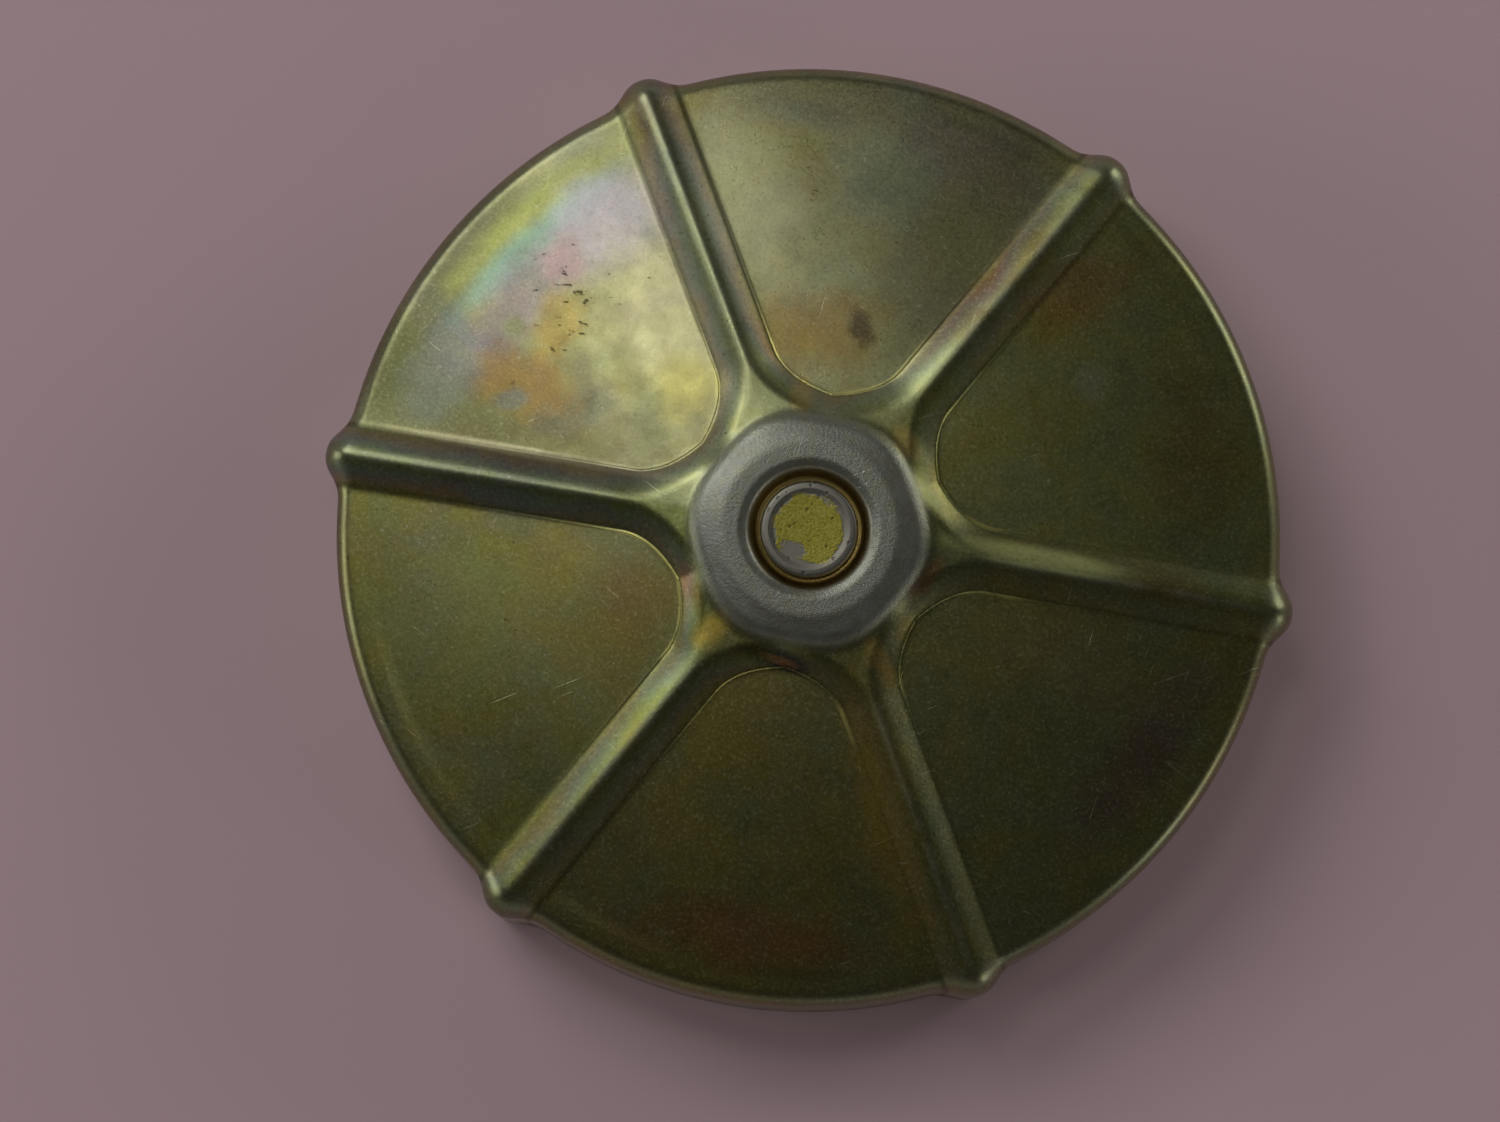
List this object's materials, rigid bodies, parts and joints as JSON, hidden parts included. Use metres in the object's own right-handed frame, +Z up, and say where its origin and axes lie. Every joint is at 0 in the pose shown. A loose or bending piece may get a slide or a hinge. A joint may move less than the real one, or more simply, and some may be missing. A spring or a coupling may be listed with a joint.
{
  "type": "fuel filler cap",
  "caption": "Vented bayonet filler cap for a tank: drawn steel shell with radial grip ribs and riveted hub, sprung gasket, and pressure and vacuum valves inside.",
  "frame": {"origin": "centre of the skirt's bottom edge", "axes": "+Z up through the hub and rivet; +X along one rib, in line with one bayonet ear"},
  "size_m": [0.076, 0.0736, 0.0174],
  "materials": {
    "yellow_zinc_steel": "yellow chromate over zinc, worn",
    "rivet_steel": "zinc plated, dull grey",
    "cup_steel": "pale yellow zinc, satin",
    "spring_steel": "bright drawn",
    "ring_steel": "clear zinc, satin",
    "valve_steel": "clear zinc, satin",
    "gasket_rubber": "matt, slightly granular",
    "valve_rubber": "smooth matt",
    "fibre_sheet": "pressed fibre, matt",
    "filter_foam": "open-cell foam",
    "valve_brass": "turned, satin"
  },
  "bodies": {
    "cap": {"cap_shell": "yellow_zinc_steel", "hub_rivet": "rivet_steel", "hub_washer": "ring_steel", "locking_cup": "cup_steel", "seal_spring": "spring_steel", "vent_filter": "filter_foam", "filter_retainer": "ring_steel", "valve_seat_plate": "valve_steel", "seat_plate_gasket": "fibre_sheet", "pressure_valve_spring": "spring_steel", "splash_baffle": "valve_steel", "baffle_rivets": "rivet_steel"},
    "seal_carrier": {"thrust_ring": "ring_steel"},
    "seal_ring": {"gasket_plate": "ring_steel", "gasket": "gasket_rubber"},
    "pressure_valve": {"pressure_valve_disc": "valve_steel", "pressure_valve_seal": "valve_rubber", "vacuum_valve_spring": "spring_steel"},
    "vacuum_valve_body": {"vacuum_valve": "valve_brass", "vacuum_valve_clip": "valve_brass"}
  },
  "joints": [
    {"name": "seal_lift", "type": "slide", "parent": "cap", "child": "seal_carrier", "axis": [0, 0, 1], "range_m": [0, 0.0012], "stiffness_N_per_m": 4000, "springref_m": -0.002, "deforming": ["seal_spring"]},
    {"name": "seal_swivel", "type": "hinge", "parent": "seal_carrier", "child": "seal_ring", "pos_m": [0, 0, 0.011], "axis": [0, 0, 1], "continuous": true},
    {"name": "pressure_valve_lift", "type": "slide", "parent": "cap", "child": "pressure_valve", "axis": [0, 0, 1], "range_m": [0, 0.0012], "stiffness_N_per_m": 400, "springref_m": -0.002, "deforming": ["pressure_valve_spring"]},
    {"name": "vacuum_valve_drop", "type": "slide", "parent": "pressure_valve", "child": "vacuum_valve_body", "axis": [0, 0, -1], "range_m": [0, 0.001], "stiffness_N_per_m": 30, "springref_m": -0.001, "deforming": ["vacuum_valve_spring"]}
  ]
}
